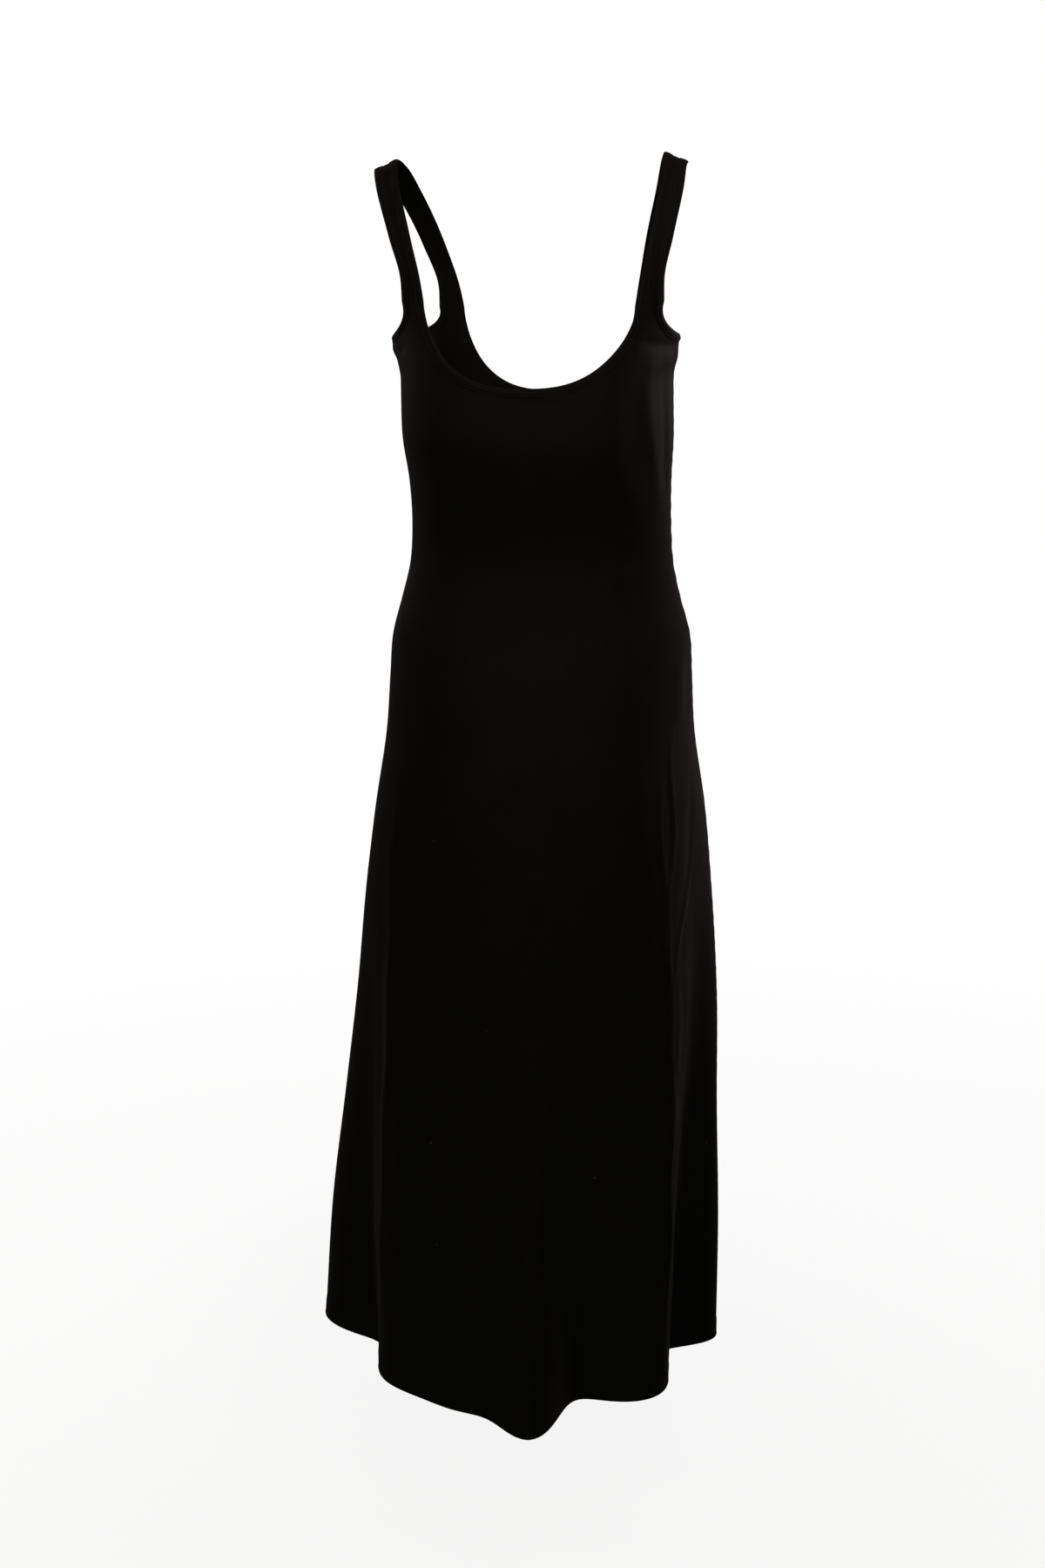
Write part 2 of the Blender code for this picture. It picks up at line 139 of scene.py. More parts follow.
# Creases over the folds, as soft ridges and troughs along a line from its upper to
# its lower end. Columns: side, upper sweep, upper level, lower sweep, lower level,
# height in mm (a trough is negative), half width in mm
CREASES = np.array([
    (FRONT, 142, -0.60, 128, -1.23, 1.8, 5.0),        # the long fold right of the middle
    (FRONT, 148, -0.66, 134, -1.20, -1.6, 9.0),
    (FRONT, 124, -0.64, 117, -1.08, 1.3, 9.0),
    (FRONT, 112, -0.78, 110, -1.14, -0.9, 12.0),
    (FRONT, 31, -0.54, 44, -0.84, 1.5, 2.8),          # the long fold left of the middle
    (FRONT, 43.5, -0.74, 42.5, -1.23, 2.0, 3.4),
    (FRONT, 35, -0.70, 35, -1.20, -2.2, 8.0),
    (FRONT, 41.5, -0.60, 43.5, -0.80, 0.9, 2.4),      # fine wrinkle beside it
    (FRONT, 36, -0.59, 40, -0.73, -0.8, 3.4),
    (FRONT, 23, -0.68, 40, -0.82, 1.3, 3.2),          # the drag line that slants to it
    (FRONT, 18, -0.60, 30, -0.74, -1.2, 6.0),
    (FRONT, 22, -0.49, 29, -0.56, 1.8, 8.0),          # left hip
    (FRONT, 12, -0.47, 16, -0.56, -1.0, 8.0),
    (FRONT, 81, -1.02, 80, -1.23, 1.8, 8.0),          # centre of the hem
    (FRONT, 92, -1.00, 92, -1.20, -1.2, 12.0),
    (FRONT, 58, -0.98, 56, -1.20, 1.4, 12.0),
    (FRONT, -16, -0.189, 28, -0.190, 2.8, 8.5),       # rolls under both armholes
    (BACK, -16, -0.189, 28, -0.190, 2.8, 8.5),
    (FRONT, 196, -0.184, 154, -0.185, 3.8, 7.0),
    (BACK, 196, -0.184, 154, -0.185, 3.8, 7.0),
    (FRONT, 14, -0.184, 44, -0.179, -2.2, 4.0),       # under the left armhole
    (FRONT, 16, -0.196, 40, -0.204, 1.5, 5.5),
    (FRONT, 38, -0.188, 26, -0.345, 2.2, 7.0),        # and down the side of the bust
    (FRONT, 24, -0.196, 15, -0.335, -2.0, 6.5),
    (FRONT, 49, -0.205, 40, -0.325, -1.5, 10.0),
    (FRONT, 168, -0.186, 146, -0.182, -1.6, 4.0),     # under the right armhole
    (FRONT, 166, -0.197, 150, -0.206, 1.2, 5.0),
    (FRONT, 95, -0.2295, 71, -0.2315, 0.5, 3.0),      # slack under the neckline
    (FRONT, 93, -0.2375, 70, -0.2400, -0.5, 4.0),
    (FRONT, 158, -0.36, 128, -0.39, -0.9, 7.0),       # soft lines at the waist
    (FRONT, 20, -0.37, 52, -0.40, -1.0, 7.5),
    (FRONT, 28, -0.395, 64, -0.415, 0.6, 7.0),
    (FRONT, 160, -0.43, 138, -0.52, 1.0, 11.0),
    (BACK, 166, -0.186, 138, -0.184, -1.8, 4.5),      # under the armholes, behind
    (BACK, 164, -0.200, 140, -0.208, 1.2, 5.5),
    (BACK, 14, -0.188, 40, -0.186, -1.6, 4.5),
    (BACK, 16, -0.202, 38, -0.212, 1.2, 5.5),
    (BACK, 24, -0.36, 84, -0.385, -1.6, 8.0),         # hollow of the back at the waist
    (BACK, 156, -0.355, 98, -0.390, -1.5, 8.5),
    (BACK, 34, -0.385, 78, -0.405, 1.1, 8.0),
    (BACK, 148, -0.385, 108, -0.412, 1.2, 7.5),
    (BACK, 52, -0.41, 70, -0.425, -0.9, 7.0),
    (BACK, 30, -0.43, 22, -0.56, 1.4, 10.0),
    (BACK, 150, -0.44, 160, -0.57, 1.3, 10.0),
    (BACK, 40, -0.60, 42, -1.10, 2.2, 9.0),           # the skirt's long folds, behind
    (BACK, 22, -0.66, 20, -1.18, -2.4, 8.0),
    (BACK, 72, -0.72, 70, -1.12, -1.4, 12.0),
    (BACK, 94, -0.78, 92, -1.20, 2.0, 9.0),
    (BACK, 118, -0.70, 116, -1.06, -1.5, 11.0),
    (BACK, 140, -0.62, 138, -1.16, 2.2, 8.5),
    (BACK, 158, -0.66, 159, -1.20, -2.4, 8.0),
])
MILLIMETRE = 0.001
CREASE_SWAY = 0.0022           # how far a crease wanders off its line
CREASE_SWAY_LENGTH = 0.135
CREASE_SWAY_SHIFT = 2.1        # radians between the sways of two creases that follow each other
CREASE_FADE = 0.75             # lower keeps a crease's height nearer to its ends

# Sewing
BAND_WIDTH = 0.0075            # folded band at the neck and armholes
BAND_CLOTH = 0.0007
BAND_SWELL = 1.3               # share by which an armhole's band is fuller at its lowest point
BAND_SWELL_HEIGHT = 0.015
BAND_STITCH_INSET = 0.0058     # its row of stitches, from the edge
BAND_GROOVE = 0.0006           # half width of the groove that the stitches press
GROOVE_DEPTH = 0.5             # the groove's bottom, as a share of the band's height
EDGE_ROUND = 0.0011            # how far the band's fold reaches past the cut edge
HEM_DEPTH = 0.020
HEM_CLOTH = 0.0012
HEM_PUFF = 0.0005              # the hem's second layer lifts the cloth by this much
HEM_PUFF_FADE = (-0.002, 0.001)  # and fades over these distances from its raw edge
HEM_STITCH_INSET = 0.0012      # the hem's row of stitches, below the raw edge
HEM_STITCH_DENT = 0.0005
HEM_STITCH_DENT_WIDTH = 0.0011
SEAM_DIP = 0.0011
SEAM_HALF_WIDTH = 0.0024
PUCKER_HEIGHT = 0.00045
PUCKER_LENGTH = 0.016
PUCKER_REACH = 0.012
PUCKER_DRIFT = 3.0             # radians by which the puckers leave an even beat
PUCKER_DRIFT_TURN = 23         # radians of that drift for each metre of seam
SKIRT_PUCKERS = 0.45           # share of their height that they keep on the skirt
PUCKERS_GROW = (-0.62, -0.40)  # levels between which they reach their whole height
ALLOWANCE_WIDTH = 0.009        # seam turnings, pressed to the back inside
ALLOWANCE_CLOTH = 0.0010
TURNING_SUNK = 0.0002          # a turning's raw edge sinks into the cloth by this much
TURNING_PUFF = 0.0003          # and its fold stands out by this much
STITCH_LENGTH = 0.0024
STITCH_SPACING = 0.0031
STITCH_UNEVENNESS = 0.12
STITCH_SEED = 7
STITCH_SIDES = 6
STITCH_RINGS = 5
THREAD_RADIUS = 0.00022
THREAD_SIDES = 4
OVERLOCK_WIDTH = 0.0035        # zigzag over a raw edge, inside
OVERLOCK_OVERHANG = 0.0002
OVERLOCK_STEP = 0.0017

# Fineness of the cloth's mesh, and where it is finer for thin wrinkles. Columns: side,
# lowest and highest sweep, lowest and highest level
CLOTH_STEP = 0.0046
FINE_STEP = 0.0023
EDGE_STEP = 0.0024
FINE_PATCHES = [
    (FRONT, 18, 50, -0.86, -0.56),
    (FRONT, 37, 49, -1.20, -0.86),
    (FRONT, 14, 50, -0.30, -0.176),
    (FRONT, 66, 98, -0.245, -0.228),
]
ROW_SPACING = 0.87             # of a step, so that the triangles come out even
ROW_SWEEPS = (0.9, 179.2)      # the rows start and end here, clear of the seams
HEM_MARGIN = 0.9               # of a step, between the hem and the lowest row
EDGE_MARGIN = 0.62             # of an edge step, between the cut edge and the rows' spots
STRAP_SPOTS = 200              # points along each edge before it is spaced evenly
UNDERARM_SPOTS = 200
NECKLINE_SPOTS = 300
HEM_SPOTS = 721
SEAM_STEP = 0.004
HEM_SWEEP_STEP = 0.5
PANEL_CORNER = 50              # degrees past which an edge is shaded as a corner
STRIP_CORNER = 60
METRES_PER_DEGREE = 0.0031     # flattens sweep and level to about one scale
FLAT_TOLERANCE = 1e-7


def smooth_values(table, column, level):
    """Values of one column at some levels, on a smooth curve through its rows."""
    levels = table[:, 0]
    values = table[:, column]
    slopes = np.gradient(values, levels)
    if table is SECTIONS and column == HEIGHT:
        slopes[-1] = 0.0           # the cloth lies level over the shoulder
    level = np.clip(level, levels[0], levels[-1])
    row = np.clip(np.searchsorted(levels, level, side="right") - 1, 0, len(levels) - 2)
    step = levels[row + 1] - levels[row]
    t = (level - levels[row]) / step
    start_weight = (1 + 2 * t) * (1 - t) ** 2
    end_weight = t * t * (3 - 2 * t)
    start_slope = t * (1 - t) ** 2 * step
    end_slope = t * t * (t - 1) * step
    return (start_weight * values[row] + end_weight * values[row + 1]
            + start_slope * slopes[row] + end_slope * slopes[row + 1])


def ease(low, high, value):
    """0 below low, 1 above high and a soft S between them."""
    t = np.clip((value - low) / (high - low), 0.0, 1.0)
    return t * t * (3 - 2 * t)


def fold_depths(angle, level):
    """How far all the folds stand out together, at an angle seen all round."""
    depth = np.zeros_like(level)
    for start_angle, hem_angle, start_level, hem_depth, half_width in FOLDS:
        grown = np.clip((start_level - level) / (start_level + LENGTH), 0.0, None)
        middle = start_angle + (hem_angle - start_angle) * grown
        away = (angle - middle + 180) % 360 - 180
        depth += hem_depth * grown ** FOLD_GROWTH * np.exp(-(away / half_width) ** 2 / 2)
    return depth


def armhole_roll(angle, level):
    """The roll of slack cloth under the right armhole."""
    up = (level - ROLL_LEVEL) / ROLL_HALF_HEIGHT
    around = (angle - 180) / ROLL_HALF_ANGLE
    return ROLL_DEPTH * np.exp(-(up * up + around * around) / 2)


def form_points(side, sweep, level):
    """The outer face of the cloth's solid, without creases."""
    half_width = smooth_values(SECTIONS, HALF_WIDTH, level)
    depth = smooth_values(SECTIONS, FRONT_DEPTH if side == FRONT else BACK_DEPTH, level)
    power = smooth_values(SECTIONS, SQUARENESS, level)
    across = np.cos(np.radians(sweep))
    outward = np.sin(np.radians(sweep))
    reach = (np.abs(across) ** power + np.abs(outward) ** power) ** (-1 / power)
    x = half_width * reach * across
    y = side * depth * reach * outward
    angle = sweep if side == FRONT else 360 - sweep
    radius = np.hypot(x, y)
    stands_out = 1 + (fold_depths(angle, level) + armhole_roll(angle, level)) / radius
    x = x * stands_out
    y = y * stands_out
    rise = ease(SLOPE_LEVEL, SHOULDER_LEVEL, level)
    z = smooth_values(SECTIONS, HEIGHT, level)
    z = z + rise * (SHOULDER_TILT * x - SHOULDER_SLOPE * (np.abs(x) - STRAP_MIDDLE))
    return np.stack((x + smooth_values(SECTIONS, CENTRE, level), y, z), axis=-1)


def slopes_of(surface, side, sweep, level):
    """How a surface's points move for each degree of sweep and metre of level."""
    small_sweep = 0.05
    small_level = 0.0002
    by_sweep = surface(side, sweep + small_sweep, level)
    by_sweep = by_sweep - surface(side, sweep - small_sweep, level)
    low = np.maximum(level - small_level, -LENGTH)
    high = np.minimum(level + small_level, SHOULDER_LEVEL)
    by_level = surface(side, sweep, high) - surface(side, sweep, low)
    return by_sweep / (2 * small_sweep), by_level / (high - low)[..., None]


def unit(vectors):
    return vectors / np.linalg.norm(vectors, axis=-1, keepdims=True)


def normals_of(surface, side, sweep, level):
    by_sweep, by_level = slopes_of(surface, side, sweep, level)
    return unit(side * np.cross(by_sweep, by_level))


def steps_along(points):
    return np.linalg.norm(np.diff(points, axis=0), axis=1)


def length_along(points):
    """Distance walked from a run's first point to each of its points."""
    return np.concatenate(([0.0], np.cumsum(steps_along(points))))


def read_off(wanted, travelled, rows):
    """Rows of numbers at wanted distances, read between the distances travelled."""
    return np.stack([np.interp(wanted, travelled, column) for column in rows.T], axis=1)


def width_of_a_degree(side, level):
    """Metres over the form for one degree of sweep, as a mean of the whole side."""
    points = form_points(side, np.arange(0, 181.0), np.full(181, level))
    return steps_along(points).sum() / 180


# Columns: level, width of a degree on the front, and on the back
SPREAD = np.array([
    (level, width_of_a_degree(FRONT, level), width_of_a_degree(BACK, level))
    for level in SECTIONS[:-2, 0]
])


def spread_at(side, level):
    return np.interp(level, SPREAD[:, 0], SPREAD[:, 1 if side == FRONT else 2])


def crease_heights(side, sweep, level):
    """Height of all of a side's creases over the form."""
    u = (sweep - 90) * spread_at(side, level)
    height = np.zeros_like(level)
    for number, crease in enumerate(CREASES):
        if crease[0] != side:
            continue
        top_sweep, top_level, low_sweep, low_level, tall, half_width = crease[1:]
        top = np.array(((top_sweep - 90) * spread_at(side, top_level), top_level))
        low = np.array(((low_sweep - 90) * spread_at(side, low_level), low_level))
        length = np.linalg.norm(low - top)
        along = (low - top) / length
        run = (u - top[0]) * along[0] + (level - top[1]) * along[1]
        off = (u - top[0]) * along[1] - (level - top[1]) * along[0]
        sway = CREASE_SWAY * np.sin(run / CREASE_SWAY_LENGTH * 2 * math.pi + number * CREASE_SWAY_SHIFT)
        wide = half_width * MILLIMETRE
        off = off - sway * min(1.0, length / CREASE_SWAY_LENGTH)
        t = np.clip(run / length, 0.0, 1.0)
        fades = (4 * t * (1 - t)) ** CREASE_FADE
        height += tall * MILLIMETRE * fades * np.exp(-(off / wide) ** 2 / 2)
    return height


def seam_heights(side, sweep, level):
    """The side seams' dip and the small puckers that their thread pulls in."""
    from_seam = np.minimum(sweep, 180 - sweep) * spread_at(side, level)
    dip = -SEAM_DIP * np.exp(-(from_seam / SEAM_HALF_WIDTH) ** 2)
    drift = PUCKER_DRIFT * np.sin(level * PUCKER_DRIFT_TURN)
    gathers = np.sin(level / PUCKER_LENGTH * 2 * math.pi + drift)
    strength = SKIRT_PUCKERS + (1 - SKIRT_PUCKERS) * ease(*PUCKERS_GROW, level)
    return dip + PUCKER_HEIGHT * strength * gathers * np.exp(-(from_seam / PUCKER_REACH) ** 2)


def hem_heights(level):
    """The doubled hem stands out a little and its stitches press a fine line."""
    above_hem = level + LENGTH
    fade_start, fade_end = HEM_PUFF_FADE
    puff = HEM_PUFF * (1 - ease(HEM_DEPTH + fade_start, HEM_DEPTH + fade_end, above_hem))
    from_stitches = (above_hem - HEM_DEPTH + HEM_STITCH_INSET) / HEM_STITCH_DENT_WIDTH
    return puff - HEM_STITCH_DENT * np.exp(-from_stitches ** 2)


def cloth_points(side, sweep, level):
    """The outer face of the worn cloth, creases and seams included."""
    height = crease_heights(side, sweep, level) + seam_heights(side, sweep, level) + hem_heights(level)
    normals = normals_of(form_points, side, sweep, level)
    return form_points(side, sweep, level) + height[..., None] * normals


def cloth_normals(side, sweep, level):
    return normals_of(cloth_points, side, sweep, level)


# Edges of the panels

def sweep_at(span, level):
    """Sweep of the point that lies a given distance from the centre line."""
    power = smooth_values(SECTIONS, SQUARENESS, level)
    across = np.minimum(span / smooth_values(SECTIONS, HALF_WIDTH, level), 1.0)
    return np.degrees(np.arctan2((1 - across ** power) ** (1 / power), across))


def strap_span(side, column, level):
    """Distance of a strap's edge from the centre line."""
    span = smooth_values(STRAP_EDGES, column, level)
    if side == BACK:
        span = span - smooth_values(STRAP_EDGES, CLOSER, level)
    return span


def even_run(side, run, step):
    """Spots at even distances along a run of sweeps and levels, ends kept."""
    travelled = length_along(form_points(side, run[:, 0], run[:, 1]))
    count = max(int(round(travelled[-1] / step)), 1) + 1
    return read_off(np.linspace(0.0, travelled[-1], count), travelled, run)


def armhole_edge(side):
    """The left armhole's half on one side, from the side seam up to the shoulder."""
    turn = np.linspace(1.0, 0.0, UNDERARM_SPOTS)[:-1] * math.pi / 2
    down = np.sin(turn) ** (2 / ARMHOLE_ROUND[0])
    across = np.cos(turn) ** (2 / ARMHOLE_ROUND[1])
    join = sweep_at(strap_span(side, ARMHOLE_EDGE, ARMHOLE_JOIN), ARMHOLE_JOIN)
    low = np.stack((join * across, ARMHOLE_JOIN + (UNDERARM_LEVEL - ARMHOLE_JOIN) * down), axis=1)
    level = np.linspace(ARMHOLE_JOIN, SHOULDER_LEVEL, STRAP_SPOTS)
    high = np.stack((sweep_at(strap_span(side, ARMHOLE_EDGE, level), level), level), axis=1)
    return np.concatenate((low, high))


def neck_edge(side):
    """The neckline on one side, from the left shoulder to the right one."""
    level = np.linspace(SHOULDER_LEVEL, NECK_JOIN, STRAP_SPOTS)[:-1]
    high = np.stack((sweep_at(strap_span(side, NECK_EDGE, level), level), level), axis=1)
    turn = np.linspace(0.0, 1.0, NECKLINE_SPOTS) * math.pi / 2
    bottom = FRONT_NECK_LEVEL if side == FRONT else BACK_NECK_LEVEL
    level = NECK_JOIN + (bottom - NECK_JOIN) * np.sin(turn) ** (2 / NECK_ROUND[0])
    span = strap_span(side, NECK_EDGE, NECK_JOIN) * np.cos(turn) ** (2 / NECK_ROUND[1])
    low = np.stack((sweep_at(span, level), level), axis=1)
    half = np.concatenate((high, low))
    return np.concatenate((half, other_half(half)[1:]))


def other_half(run):
    """A run of spots on the panel's other half, in reverse order."""
    return np.stack((180 - run[::-1, 0], run[::-1, 1]), axis=1)


def panel_outline(side):
    """The panel's cut edge as spots, once round with the cloth on its left."""
    seam_levels = np.arange(-LENGTH, UNDERARM_LEVEL, CLOTH_STEP)
    left_seam = np.stack((np.zeros_like(seam_levels), seam_levels), axis=1)
    arm = even_run(side, armhole_edge(side), EDGE_STEP)
    neck = even_run(side, neck_edge(side), EDGE_STEP)
    hem_sweeps = np.linspace(180, 0, HEM_SPOTS)
    hem = np.stack((hem_sweeps, np.full(HEM_SPOTS, -LENGTH)), axis=1)
    hem = even_run(side, hem, CLOTH_STEP)
    left = np.concatenate((left_seam, arm))
    return np.concatenate((left, neck, other_half(left), hem[1:-1]))


def flat(spots):
    """Sweeps and levels at about one scale, for measuring and joining them up."""
    return np.stack((spots[:, 0] * METRES_PER_DEGREE, spots[:, 1]), axis=1)


def is_inside(points, loop):
    """For many points at once, whether each lies inside a closed loop."""
    inside = np.zeros(len(points), dtype=bool)
    for (x0, y0), (x1, y1) in zip(loop, np.roll(loop, -1, axis=0)):
        if y0 == y1:
            continue
        spans = (y0 > points[:, 1]) != (y1 > points[:, 1])
        crossing = x0 + (x1 - x0) * (points[:, 1] - y0) / (y1 - y0)
        inside ^= spans & (points[:, 0] < crossing)
    return inside


def even_spots(side, step, low_sweep, high_sweep, low_level, high_level):
    """Spots in staggered rows, one step apart, over a part of a side."""
    spots = []
    for number, level in enumerate(np.arange(low_level, high_level, step * ROW_SPACING)):
        degrees = step / spread_at(side, level)
        shift = 0.5 if number % 2 else 0.0
        sweeps = low_sweep + degrees * np.arange(shift, (high_sweep - low_sweep) / degrees)
        spots.append(np.stack((sweeps, np.full_like(sweeps, level)), axis=1))
    return np.concatenate(spots)


def panel_triangles(side):
    """Even triangles over the whole panel, as spots and corner numbers."""
    outline = panel_outline(side)
    loop = flat(outline)
    lowest_row = -LENGTH + CLOTH_STEP * HEM_MARGIN
    spots = even_spots(side, CLOTH_STEP, *ROW_SWEEPS, lowest_row, SHOULDER_LEVEL)
    for patch_side, *patch in FINE_PATCHES:
        if patch_side == side:
            low_sweep, high_sweep, low_level, high_level = patch
            within = (spots[:, 0] > low_sweep) & (spots[:, 0] < high_sweep)
            within &= (spots[:, 1] > low_level) & (spots[:, 1] < high_level)
            spots = np.concatenate((spots[~within], even_spots(side, FINE_STEP, *patch)))
    inner = flat(spots)
    spots = spots[is_inside(inner, loop)]
    inner = flat(spots)
    clear = np.ones(len(inner), dtype=bool)
    for point in loop:
        clear &= np.hypot(*(inner - point).T) > EDGE_STEP * EDGE_MARGIN
    spots = spots[clear]
    points = [Vector(point) for point in np.concatenate((loop, flat(spots)))]
    found = delaunay_2d_cdt(points, [], [list(range(len(loop)))], 1, FLAT_TOLERANCE)
    flat_spots = np.array([point[:] for point in found[0]])
    flat_spots[:, 0] /= METRES_PER_DEGREE
    return flat_spots, np.array([list(face) for face in found[2]])


def placed_in_scene(name, data):
    thing = bpy.data.objects.new(name, data)
    bpy.context.scene.collection.objects.link(thing)
    return thing


def cloth_object(name, points, faces, uv, corner):
    """Smooth cloth at the origin; uv has one pair for each point, corner is in degrees."""
    mesh = bpy.data.meshes.new(name)
    mesh.from_pydata(points.tolist(), [], [list(map(int, face)) for face in faces])
    layer = mesh.uv_layers.new(name="cloth_metres")
    corners = np.zeros(len(mesh.loops), dtype=np.int32)
    mesh.loops.foreach_get("vertex_index", corners)
    layer.data.foreach_set("uv", uv[corners].astype(np.float32).ravel())
    mesh.shade_smooth()
    body = bmesh.new()
    body.from_mesh(mesh)
    bmesh.ops.recalc_face_normals(body, faces=body.faces)
    body.to_mesh(mesh)
    body.free()
    mesh.set_sharp_from_angle(angle=math.radians(corner))
    return placed_in_scene(name, mesh)


def make_panel(name, side):
    """One panel's cloth, outer face, inner face and the thin edge between them."""
    spots, faces = panel_triangles(side)
    outer = cloth_points(side, spots[:, 0], spots[:, 1])
    normals = cloth_normals(side, spots[:, 0], spots[:, 1])
    inner = outer - CLOTH * normals
    count = len(outer)
    corners = np.stack((faces, np.roll(faces, -1, axis=1)), axis=2).reshape(-1, 2)
    walked = {tuple(pair) for pair in corners.tolist()}
    rim = [(start, end) for start, end in sorted(walked) if (end, start) not in walked]
    all_faces = faces.tolist() + (faces[:, ::-1] + count).tolist()
    all_faces += [(end, start, count + start, count + end) for start, end in rim]
    across = (spots[:, 0] - 90) * spread_at(side, spots[:, 1])
    uv = np.stack((across, spots[:, 1]), axis=1)
    both_uv = np.concatenate((uv, uv))
    return cloth_object(name, np.concatenate((outer, inner)), all_faces, both_uv, PANEL_CORNER)


# Bands, hem and seams are strips: a small profile carried along a run of spots

def strip_frames(side, run, away_from):
    """Points of the cloth, its normals, and directions over it away from a place."""
    points = cloth_points(side, run[:, 0], run[:, 1])
    normals = cloth_normals(side, run[:, 0], run[:, 1])
    inward = unit(np.cross(normals, np.gradient(points, axis=0)))
    if np.sum(inward * (points - away_from)) < 0:
        inward = -inward
    return points, normals, inward


def joined(frames):
    """Frames of several runs, one after the other."""
    return [np.concatenate([part[k] for part in frames]) for k in range(3)]


def strip_points(frames, distance, height):
    """Points at a distance over the cloth and a height above it, all along a run."""
    points, normals, inward = frames
    return points + distance * inward + height * normals


def band_fullness(frames):
    """How full an armhole's band is along its run: most at its lowest point."""
    height = frames[0][:, 2]
    return BAND_SWELL * np.exp(-((height - height.min()) / BAND_SWELL_HEIGHT) ** 2)


def swelled(distance, fullness):
    """How much fuller the band is at a distance from its fold, and none at its sewn edge."""
    share = min(max(distance / BAND_WIDTH, 0.0), 1.0)
    return 1 + fullness * math.cos(share * math.pi / 2)


def carried_profile(name, frames, profile, closed, fullness=0.0):
    """A strip of cloth: its section carried along the frames of a run."""
    full = np.broadcast_to(fullness, len(frames[0]))[:, None]
    rows = []
    for distance, height in profile:
        more = swelled(distance, full)
        reach = distance * more if distance < 0 else distance
        rise = height * more if height > 0 else height
        rows.append(strip_points(frames, reach, rise))
    rows = np.stack(rows, axis=1)
    rings, size = rows.shape[:2]
    along = length_along(frames[0])[:, None]
    around = length_along(profile)[None, :]
    uv = np.stack(np.broadcast_arrays(around, along), axis=2).reshape(-1, 2)
    faces = []
    for ring in range(rings if closed else rings - 1):
        after = (ring + 1) % rings
        for corner in range(size):
            following = (corner + 1) % size
            faces.append((ring * size + corner, ring * size + following,
                          after * size + following, after * size + corner))
    if not closed:
        faces.append(list(range(size)))
        faces.append([(rings - 1) * size + corner for corner in reversed(range(size))])
    return cloth_object(name, rows.reshape(-1, 3), faces, uv, STRIP_CORNER)


def band_profile():
    """The folded band's section: distance in from the edge and height over the cloth."""
    top = BAND_CLOTH
    under = -CLOTH - BAND_CLOTH
    return np.array([
        (BAND_WIDTH, 0.0),
        (BAND_WIDTH, top * 0.75),
        (BAND_WIDTH - BAND_GROOVE, top * 1.05),
        (BAND_STITCH_INSET + BAND_GROOVE, top),
        (BAND_STITCH_INSET, top * GROOVE_DEPTH),
        (BAND_STITCH_INSET - BAND_GROOVE, top),
        (BAND_WIDTH * 0.45, top * 1.35),
        (BAND_WIDTH * 0.18, top * 1.2),
        (0.0, top * 0.75),
        (-EDGE_ROUND * 0.8, 0.0),
        (-EDGE_ROUND, (top + under) / 2),
        (-EDGE_ROUND * 0.8, under + top),
        (0.0, under + top * 0.3),
        (BAND_WIDTH * 0.3, under - top * 0.2),
        (BAND_WIDTH * 0.8, under),
        (BAND_WIDTH, under + top * 0.4),
        (BAND_WIDTH, -CLOTH),
    ])


def hem_profile():
    """The turned-up hem's section: distance up from the hem and height over the cloth."""
    inside = -CLOTH - HEM_CLOTH
    return np.array([
        (HEM_DEPTH, -CLOTH + TURNING_SUNK),           # raw edge, inside
        (HEM_DEPTH + 0.0004, -CLOTH - 0.0004),
        (HEM_DEPTH, inside),
        (HEM_DEPTH * 0.5, inside - TURNING_PUFF),
        (0.0012, inside),
        (-0.0003, inside * 0.8),                      # round the fold
        (-0.0008, inside * 0.4),
        (-0.0004, 0.0),
        (0.0006, 0.0003),                             # and into the outer face
        (0.0016, 0.0001),
        (0.0016, -CLOTH * 0.6),
    ])


def turning_profile():
    """A pressed seam's turnings: distance from the seam and height over the cloth."""
    under = -CLOTH - ALLOWANCE_CLOTH
    return np.array([
        (-0.0008, -CLOTH),                            # at the seam
        (-0.0006, under - TURNING_PUFF),
        (ALLOWANCE_WIDTH * 0.5, under),
        (ALLOWANCE_WIDTH, under + TURNING_SUNK),      # raw edge
        (ALLOWANCE_WIDTH + 0.0003, -CLOTH - 0.0003),
        (ALLOWANCE_WIDTH, -CLOTH + TURNING_SUNK),
    ])


NECK_HOLE = np.array((0.0, 0.0, -0.10))
BELOW_THE_HEM = np.array((0.0, 0.0, -4.0))
BEFORE_THE_DRESS = np.array((0.0, -4.0, -0.7))


def neck_frames():
    """Frames once round the neckline, across the front and back along the other side."""
    front = strip_frames(FRONT, even_run(FRONT, neck_edge(FRONT), EDGE_STEP)[1:], NECK_HOLE)
    back = strip_frames(BACK, even_run(BACK, neck_edge(BACK), EDGE_STEP)[::-1][1:], NECK_HOLE)
    return joined((front, back))


def armhole_frames(left):
    """Frames round one armhole, up its front half and down its back half."""
    front_run = even_run(FRONT, armhole_edge(FRONT), EDGE_STEP)
    back_run = even_run(BACK, armhole_edge(BACK), EDGE_STEP)
    if not left:
        front_run = other_half(front_run)[::-1]
        back_run = other_half(back_run)[::-1]
    middle = form_points(FRONT, front_run[:, 0], front_run[:, 1]).mean(axis=0)
    middle[1] = 0.0
    front = strip_frames(FRONT, front_run[1:], middle)
    back = strip_frames(BACK, back_run[::-1][1:], middle)
    return joined((front, back))


def hem_frames(height_above=0.0):
    """Frames once round the skirt, at a height above the hem."""
    sweeps = np.arange(0.0, 180.0, HEM_SWEEP_STEP)
    level = np.full_like(sweeps, -LENGTH + height_above)
    front = strip_frames(FRONT, np.stack((sweeps, level), axis=1), BELOW_THE_HEM)
    back = strip_frames(BACK, np.stack((180.0 - sweeps, level), axis=1), BELOW_THE_HEM)
    return joined((front, back))


